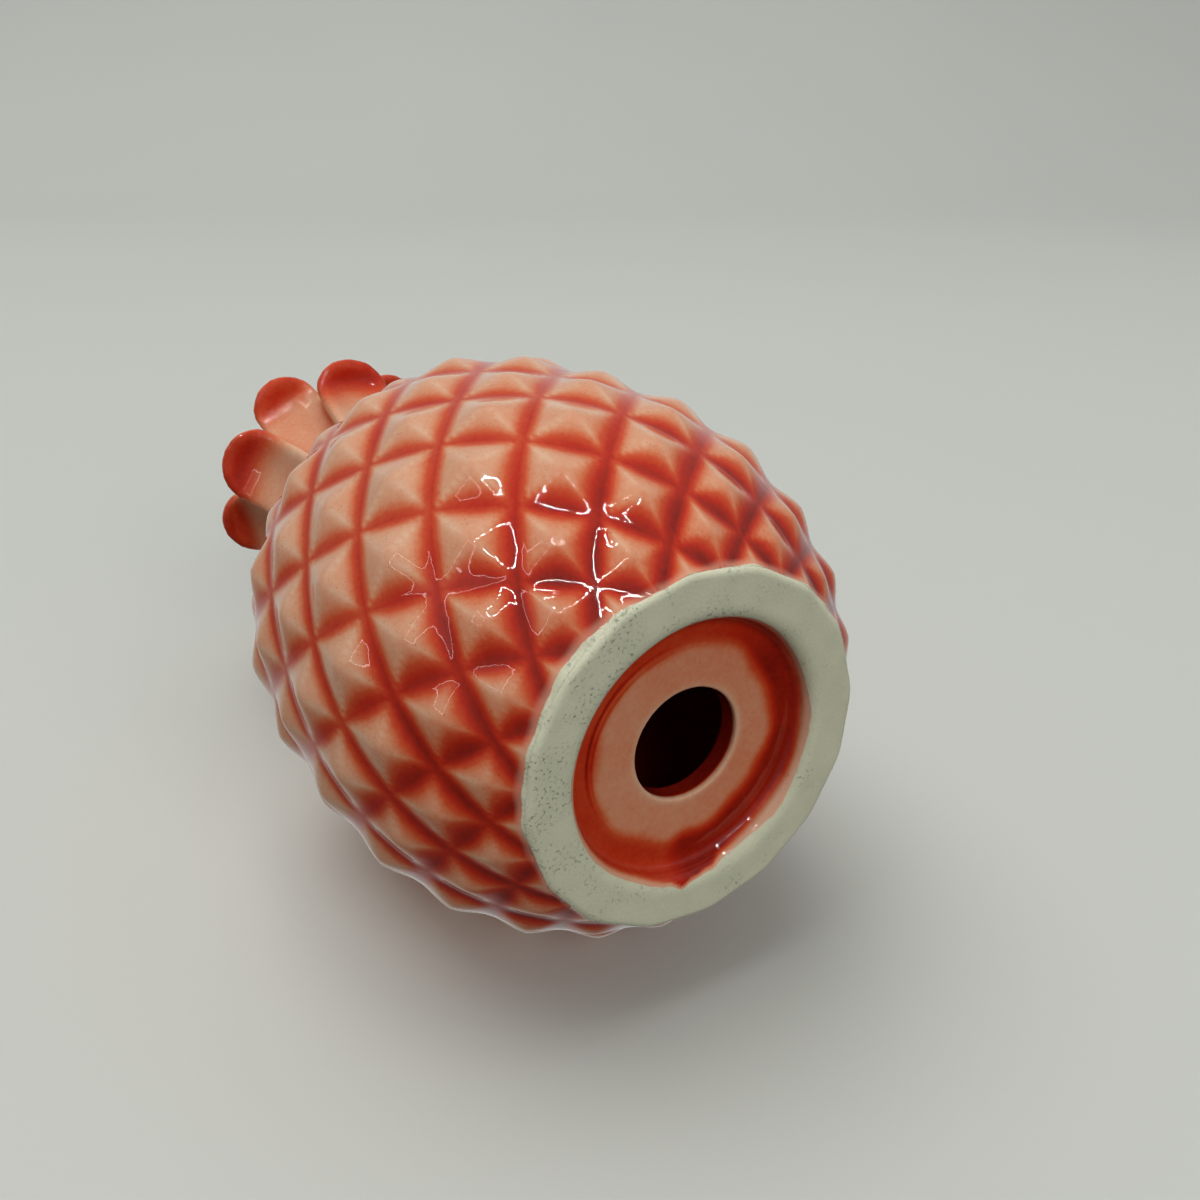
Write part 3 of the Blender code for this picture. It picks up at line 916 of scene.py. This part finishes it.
def recess_glaze(skin):
    """Glaze thickness over the recess: a thick band in the corner, thin at the hole's rim, and
    very thick on the hole's wall, partly painted shade.
    """
    turned = np.degrees(turned_from(skin.angle, WIDE_MIDDLE))
    wide = smooth_step(turned, *WIDE_START_DEGREES)
    wide = wide * (1 - smooth_step(turned, *WIDE_END_DEGREES))
    reach = (BAND_REACH + WIDE_REACH * wide + waves(skin.angle, REACH_WAVES)) * MM
    corner = RECESS_RADIUS - RECESS_DRAFT
    band = smooth_step(skin.radius, corner - reach, corner - BAND_FADE * reach)
    depth = BAND_GLAZE + WIDE_GLAZE * wide
    lines = 0.0
    for inset, strength in THIN_LINES:
        sway = waves(skin.angle, [(THIN_LINE_SWAY, THIN_LINE_TURNS, THIN_LINE_PHASE + inset)])
        line_radius = corner - (inset + sway) * MM
        lines = lines + strength * bell(skin.radius - line_radius, THIN_LINE_WIDTH * MM)
    lines = lines * bell(turned_from(skin.angle, THIN_LINES_MIDDLE), THIN_LINES_SPREAD)
    rim = bell(skin.radius - HOLE_RADIUS, HOLE_RIM_WIDTH) * (skin.height < HOLE_WALL_BOTTOM)
    floor = FLOOR_GLAZE + (depth - FLOOR_GLAZE) * band + lines - HOLE_RIM_WEAR * rim
    # The hole's wall gets very thick, dark glaze: partly glaze, partly painted shade inside the
    # hole.
    inside_hole = (skin.radius < HOLE_WALL_RADIUS) & (skin.height > HOLE_WALL_BOTTOM)
    return np.where(inside_hole, HOLE_GLAZE_AND_SHADE, floor)


def in_cavity(skin, outline):
    """Which vertices lie on the walls of the hollow inside."""
    surface = np.interp(skin.height, outline.line[:, 1], outline.line[:, 0])
    low, high = CAVITY_HEIGHTS
    within = skin.radius < surface - CAVITY_WALL_SHARE * WALL
    return within & (skin.height > low) & (skin.height < high)


def bare_clay(skin):
    """Millimetres inside the bare clay, and the share of full thickness beside it."""
    outer_line = OUTER_LINE_HEIGHT + waves(skin.angle, OUTER_LINE_WAVES) * MM
    spilt = bell(turned_from(skin.angle, SPILT_MIDDLE), SPILT_SPREAD)
    wiped = 0.5 + 0.5 * np.cos(skin.angle - WIPED_MIDDLE)
    ragged = waves(skin.angle, INNER_LINE_WAVES) + spilt * waves(skin.angle, SPILT_WAVES)
    depth = INNER_LINE_DEPTH + WIPED_SIZE * wiped - SPILT_SIZE * spilt + ragged * MM
    run = RECESS_RADIUS + RECESS_EDGE - skin.radius + skin.height
    nearest, farthest = INNER_LINE_RADII
    in_recess = (skin.radius > nearest) & (skin.radius < farthest)
    in_recess &= skin.height < INNER_LINE_TOP
    elsewhere = np.where(skin.radius > RECESS_RADIUS, MOST_BARE, -MOST_BARE)
    inner = np.where(in_recess, (depth - run) / MM, elsewhere)
    bare = np.minimum((outer_line - skin.height) / MM, inner)
    risen = smooth_step(run - depth, 0.0, BUILD_UP - SPILT_BUILD_UP * spilt)
    return np.clip(bare, -MOST_BARE, MOST_BARE), np.where(in_recess, risen, 1.0)


def glaze_values(mesh):
    """For each vertex: glaze thickness, with some painted shade in it, and millimetres inside the
    bare clay.
    """
    skin = Skin(mesh)
    outline = Outline(BODY_OUTLINE)
    above_neck = smooth_step(skin.height, *CROWN_HEIGHTS) * (skin.radius < LEAVES_RADIUS)
    tips = (skin.height > LEAVES_HEIGHT) * (skin.radius >= LEAVES_RADIUS)
    in_crown = above_neck + tips
    glaze = body_glaze(skin, outline) * (1 - in_crown) + crown_glaze(skin) * in_crown
    under = (skin.height < RECESS_DEPTH + FLOOR_THICKNESS) & (skin.radius < RECESS_SIDE)
    glaze = np.where(under, recess_glaze(skin), glaze)
    glaze = np.where(in_cavity(skin, outline), CAVITY_GLAZE, glaze)
    bare, risen = bare_clay(skin)
    return np.clip(glaze * risen, 0.0, MOST_GLAZE), bare


def write_values(mesh, name, values):
    """Keeps one number for each vertex under a name that the material reads."""
    attribute = mesh.attributes.new(name, "FLOAT", "POINT")
    attribute.data.foreach_set("value", values.astype(np.float32))


class Nodes:
    """Short calls for building the nodes of a material or of the world."""

    def __init__(self, owner, shader="Principled BSDF"):
        owner.use_nodes = True
        self.tree = owner.node_tree
        self.shader = self.tree.nodes[shader]

    def put(self, socket, value):
        """Links the socket to another, or sets its value."""
        if isinstance(value, bpy.types.NodeSocket):
            self.tree.links.new(value, socket)
        else:
            socket.default_value = value

    def shade(self, name, value):
        """Links or sets an input of the shader."""
        self.put(self.shader.inputs[name], value)

    def add(self, kind, inputs=(), **settings):
        """A new node with these settings and inputs."""
        made = self.tree.nodes.new(kind)
        for key, value in settings.items():
            setattr(made, key, value)
        for key, value in dict(inputs).items():
            self.put(made.inputs[key], value)
        return made

    def attribute(self, name):
        """A value kept on the mesh."""
        return self.add("ShaderNodeAttribute", attribute_name=name).outputs["Fac"]

    def coordinates(self, name):
        """Texture coordinates of this kind."""
        return self.add("ShaderNodeTexCoord").outputs[name]

    def math(self, operation, *values):
        """The result of a sum on values or sockets."""
        return self.add("ShaderNodeMath", enumerate(values), operation=operation).outputs[0]

    def dot(self, first, second):
        """The dot product of two vectors."""
        made = self.add("ShaderNodeVectorMath", {0: first, 1: second}, operation="DOT_PRODUCT")
        return made.outputs["Value"]

    def noise(self, vector, settings):
        """A noise from 0 to 1, with (scale, detail, roughness)."""
        scale, detail, roughness = settings
        inputs = {"Vector": vector, "Scale": scale, "Detail": detail, "Roughness": roughness}
        return self.add("ShaderNodeTexNoise", inputs).outputs["Fac"]

    def swing(self, vector, settings):
        """The same noise, from -0.5 to 0.5."""
        return self.math("SUBTRACT", self.noise(vector, settings), 0.5)

    def ramp(self, value, limits, results=(0.0, 1.0)):
        """A smooth change from one result to the other between the limits."""
        inputs = {"Value": value, "From Min": limits[0], "From Max": limits[1]}
        inputs.update({"To Min": results[0], "To Max": results[1]})
        made = self.add("ShaderNodeMapRange", inputs, interpolation_type="SMOOTHSTEP")
        return made.outputs["Result"]

    def mix(self, share, first, second):
        """A colour between two."""
        made = self.add("ShaderNodeMix", data_type="RGBA")
        self.put(made.inputs["Factor"], share)
        self.put(made.inputs[6], first)
        self.put(made.inputs[7], second)
        return made.outputs[2]

    def colors(self, value, stops):
        """The colour for a value, from (value, colour) stops."""
        made = self.add("ShaderNodeValToRGB", {"Fac": value})
        ramp = made.color_ramp
        while len(ramp.elements) < len(stops):
            ramp.elements.new(0.5)
        for element, (place, color) in zip(ramp.elements, stops):
            element.position = place
            element.color = color
        return made.outputs["Color"]


def glaze_color(n, place, mottle):
    """Coral, pale where the glaze is thin and deep red where it is thick, with dark specks."""
    drift = n.swing(place, DRIFT_NOISE)
    thickness = n.math("MULTIPLY_ADD", drift, DRIFT_SHARE, n.attribute("glaze"))
    thickness = n.math("MULTIPLY_ADD", mottle, MOTTLE_SHARE, thickness)
    color = n.colors(n.math("MULTIPLY", thickness, GLAZE_SCALE), GLAZE_COLORS)
    specks = n.ramp(n.noise(place, SPECK_NOISE), SPECK_LIMITS)
    return n.mix(n.math("MULTIPLY", specks, SPECK_SHARE), color, SPECK_COLOR)


def clay_color(n, place):
    """Pale bare clay with grimy patches, most on the soiled side, and fine dust."""
    clay = n.mix(n.noise(place, CLAY_NOISE), CLAY_PALE, CLAY_DARK)
    soiled = n.ramp(n.dot(place, SOILED_SIDE), SOILED_LIMITS)
    soiled = n.math("MULTIPLY_ADD", soiled, SOILED_SHARE, n.noise(place, PATCH_NOISE))
    grime = n.ramp(n.noise(place, GRIME_NOISE), GRIME_LIMITS)
    grime = n.math("MULTIPLY", n.ramp(soiled, PATCH_LIMITS), grime)
    clay = n.mix(n.math("MULTIPLY", grime, GRIME_SHARE), clay, GRIME_COLOR)
    dust = n.ramp(n.noise(place, DUST_NOISE), DUST_LIMITS)
    return n.mix(n.math("MULTIPLY", dust, DUST_SHARE), clay, DUST_COLOR)


def glaze_material():
    """Glossy coral glaze with a thin fringe where it meets the rough bare clay."""
    material = bpy.data.materials.new("coral_glaze")
    n = Nodes(material)
    place = n.coordinates("Object")
    mottle = n.swing(place, MOTTLE_NOISE)
    wobble = n.swing(place, WOBBLE_NOISE)
    bare = n.math("MULTIPLY_ADD", wobble, WOBBLE_SHARE, n.attribute("bare"))
    clay_share = n.ramp(bare, BARE_LIMITS)
    fringe = n.math("MULTIPLY", n.ramp(bare, FRINGE_LIMITS), FRINGE_SHARE)
    color = n.mix(fringe, glaze_color(n, place, mottle), FRINGE_COLOR)
    n.shade("Base Color", n.mix(clay_share, color, clay_color(n, place)))

    sheen = n.math("MULTIPLY_ADD", mottle, MOTTLE_ROUGHNESS, GLAZE_ROUGHNESS)
    n.shade("Roughness", n.math("MULTIPLY_ADD", clay_share, CLAY_ROUGHNESS, sheen))
    n.shade("IOR", GLAZE_IOR)

    grain = n.math("MULTIPLY", n.noise(place, GRAIN_NOISE), clay_share)
    height = n.math("MULTIPLY_ADD", grain, GRAIN_SHARE, n.noise(place, RIPPLE_NOISE))
    bump = n.add("ShaderNodeBump", {"Height": height, "Distance": BUMP_DEPTH, "Strength": 1.0})
    n.shade("Normal", bump.outputs["Normal"])
    return material


def make_pineapple():
    """The whole glazed casting, standing for the solid."""
    piece = body_shell().mesh_object("pineapple_glazed")
    boolean(piece, crown_clump(), "UNION")
    boolean(piece, chimney(), "DIFFERENCE")
    mesh = piece.data
    without_slivers(mesh)
    mesh.materials.clear()
    mesh.materials.append(glaze_material())
    # The glaze values also hold painted shade: extra thickness under the crown's tips and inside
    # the hole.
    glaze, bare = glaze_values(mesh)
    write_values(mesh, "glaze", glaze)
    write_values(mesh, "bare", bare)
    mesh.shade_smooth()
    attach(piece, "root")
    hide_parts("pineapple")


def make_camera():
    """The camera at the photograph's place and angle."""
    data = bpy.data.cameras.new("photo_camera")
    data.sensor_width = SENSOR_WIDTH
    data.lens = LENS
    data.clip_start = CAMERA_CLIP_START
    data.clip_end = CAMERA_CLIP_END
    camera = bpy.data.objects.new("photo_camera", data)
    bpy.context.scene.collection.objects.link(camera)
    camera.location = CAMERA_PLACE
    camera.rotation_mode = "QUATERNION"
    aim = (CAMERA_AIM - CAMERA_PLACE).to_track_quat("-Z", "Y")
    camera.rotation_quaternion = aim @ Quaternion((0.0, 0.0, 1.0), CAMERA_ROLL)
    bpy.context.scene.camera = camera


def table_axes():
    """Directions in the table's surface: away from the camera, and across its view."""
    forward = (CAMERA_AIM - CAMERA_PLACE).normalized()
    away = (forward - TABLE_UP * forward.dot(TABLE_UP)).normalized()
    return away, away.cross(TABLE_UP).normalized()


def paper_material(name):
    """Plain pale paper with a faint grain, seen only from its front."""
    material = bpy.data.materials.new("pale_" + name)
    n = Nodes(material)
    cloud = n.noise(n.coordinates("Object"), PAPER_NOISE)
    n.shade("Base Color", n.mix(cloud, PAPER_DARK, PAPER_PALE))
    n.shade("Roughness", PAPER_ROUGHNESS)
    nothing = n.add("ShaderNodeBsdfTransparent").outputs["BSDF"]
    back = n.add("ShaderNodeNewGeometry").outputs["Backfacing"]
    both = n.add("ShaderNodeMixShader", {0: back, 1: n.shader.outputs["BSDF"], 2: nothing})
    n.put(n.tree.nodes["Material Output"].inputs["Surface"], both.outputs[0])
    return material


def add_sheet(name, points, faces, facing):
    """A sheet of paper, seen only from the side that it faces."""
    mesh = bpy.data.meshes.new(name)
    mesh.from_pydata(points, [], faces)
    mesh.update()
    if mesh.polygons[0].normal.dot(facing) < 0:
        mesh.flip_normals()
    mesh.materials.append(paper_material(name))
    mesh.shade_smooth()
    sheet = bpy.data.objects.new(name, mesh)
    bpy.context.scene.collection.objects.link(sheet)
    sheet.visible_diffuse = False
    sheet.visible_glossy = False
    sheet.visible_transmission = False
    sheet.visible_shadow = False


def make_table():
    """The pale table and the sweep behind it, as one curved sheet."""
    away, across = table_axes()
    profile = [(-TABLE_NEAR, 0.0)]
    for step in range(SWEEP_STEPS + 1):
        turn = 0.5 * math.pi * step / SWEEP_STEPS
        reach = TABLE_FAR + SWEEP_RADIUS * math.sin(turn)
        profile.append((reach, SWEEP_RADIUS * (1 - math.cos(turn))))
    profile.append((TABLE_FAR + SWEEP_RADIUS, SWEEP_RADIUS + SWEEP_RISE))
    points = []
    faces = []
    for k, (reach, rise) in enumerate(profile):
        spot = away * reach + TABLE_UP * (rise - TABLE_GAP)
        points += [spot - across * TABLE_HALF_WIDTH, spot + across * TABLE_HALF_WIDTH]
        if k:
            faces.append((2 * k - 2, 2 * k - 1, 2 * k + 1, 2 * k))
    add_sheet("table", points, faces, TABLE_UP)


def make_floor():
    """A pale floor under the foot ring, for views from above it."""
    half = FLOOR_HALF_WIDTH
    points = [(-half, -half, -FLOOR_GAP), (half, -half, -FLOOR_GAP)]
    points += [(half, half, -FLOOR_GAP), (-half, half, -FLOOR_GAP)]
    add_sheet("floor", points, [(0, 1, 2, 3)], Vector((0.0, 0.0, 1.0)))


def add_panel(name, place, size, watts):
    """A square soft light that faces the piece and is never mirrored."""
    data = bpy.data.lights.new(name, "AREA")
    data.size = size
    data.energy = watts
    light = bpy.data.objects.new(name, data)
    bpy.context.scene.collection.objects.link(light)
    light.location = place
    light.rotation_mode = "QUATERNION"
    light.rotation_quaternion = (LIT_POINT - place).to_track_quat("-Z", "Y")
    light.visible_camera = False
    light.visible_glossy = False


def glow_material(name, color, strength):
    """A surface that only gives light."""
    material = bpy.data.materials.new(name)
    n = Nodes(material)
    n.shade("Base Color", BLACK)
    n.shade("Specular IOR Level", 0.0)
    n.shade("Emission Color", color)
    n.shade("Emission Strength", strength)
    return material


class Glow:
    """Flat light-giving rectangles in a plane that faces the casting, seen only mirrored."""

    def __init__(self, direction):
        self.middle = LIT_POINT + direction * LAMP_DISTANCE
        self.side = direction.cross(Vector((0.0, 0.0, 1.0))).normalized()
        self.up = self.side.cross(direction)
        self.points = []
        self.faces = []

    def patch(self, across, rise, width, height):
        """A rectangle at a place in the plane."""
        centre = self.middle + self.side * across + self.up * rise
        half = self.side * width / 2
        tall = self.up * height / 2
        start = len(self.points)
        self.points += [centre - half - tall, centre + half - tall]
        self.points += [centre + half + tall, centre - half + tall]
        self.faces.append((start, start + 1, start + 2, start + 3))

    def finish(self, name, color, strength):
        """Makes the object of all rectangles so far."""
        mesh = bpy.data.meshes.new(name)
        mesh.from_pydata(self.points, [], self.faces)
        mesh.materials.append(glow_material(name, color, strength))
        made = bpy.data.objects.new(name, mesh)
        bpy.context.scene.collection.objects.link(made)
        made.visible_camera = False
        made.visible_diffuse = False
        made.visible_shadow = False


def make_lamp_frame():
    """The rectangle of small lights that the glaze mirrors as dotted outlines."""
    glow = Glow(FRAME_DIRECTION)
    for end in (-0.5, 0.5):
        for k in range(FRAME_DOTS_ACROSS):
            along = FRAME_WIDTH * ((k + 0.5) / FRAME_DOTS_ACROSS - 0.5)
            glow.patch(along, end * FRAME_HEIGHT, FRAME_DOT_LENGTH, FRAME_DOT_WIDTH)
        for k in range(FRAME_DOTS_UP):
            along = FRAME_HEIGHT * ((k + 0.5) / FRAME_DOTS_UP - 0.5)
            glow.patch(end * FRAME_WIDTH, along, FRAME_DOT_WIDTH, FRAME_DOT_LENGTH)
    glow.finish("lamp_frame", FRAME_COLOR, FRAME_STRENGTH)


def make_window():
    """A dim panel with brighter edges, mirrored as faint pink outlines."""
    pane = Glow(WINDOW_DIRECTION)
    pane.patch(0.0, 0.0, WINDOW_WIDTH, WINDOW_HEIGHT)
    pane.finish("window_pane", WINDOW_COLOR, WINDOW_STRENGTH)
    edge = Glow(WINDOW_DIRECTION)
    whole_width = WINDOW_WIDTH + 2 * WINDOW_EDGE
    for end in (-0.5, 0.5):
        edge.patch(0.0, end * (WINDOW_HEIGHT + WINDOW_EDGE), whole_width, WINDOW_EDGE)
        edge.patch(end * (WINDOW_WIDTH + WINDOW_EDGE), 0.0, WINDOW_EDGE, WINDOW_HEIGHT)
    edge.finish("window_edge", WINDOW_COLOR, WINDOW_EDGE_STRENGTH)


def make_world():
    """A pale room: brighter above the table and behind the piece, dark on one side."""
    world = bpy.data.worlds.new("pale_room")
    bpy.context.scene.world = world
    n = Nodes(world, "Background")
    direction = n.coordinates("Generated")
    above = n.ramp(n.dot(direction, TABLE_UP), ROOM_LIMITS, (ROOM_LOW, ROOM_HIGH))
    shade = n.ramp(n.dot(direction, SHADE_DIRECTION), SHADE_LIMITS, (1.0, ROOM_SHADE))
    ahead = (CAMERA_AIM - CAMERA_PLACE).normalized()
    behind = n.ramp(n.dot(direction, ahead), BEHIND_LIMITS, (0.0, ROOM_BEHIND))
    n.shade("Strength", n.math("MULTIPLY_ADD", above, shade, behind))
    n.shade("Color", ROOM_COLOR)


def make_lights():
    """Soft panels that the glaze does not mirror, the mirrored frame and the room."""
    for panel in PANELS:
        add_panel(*panel)
    make_lamp_frame()
    make_window()
    make_world()


make_camera()
make_pineapple()
make_table()
make_floor()
make_lights()
bpy.context.scene.view_settings.view_transform = "Standard"
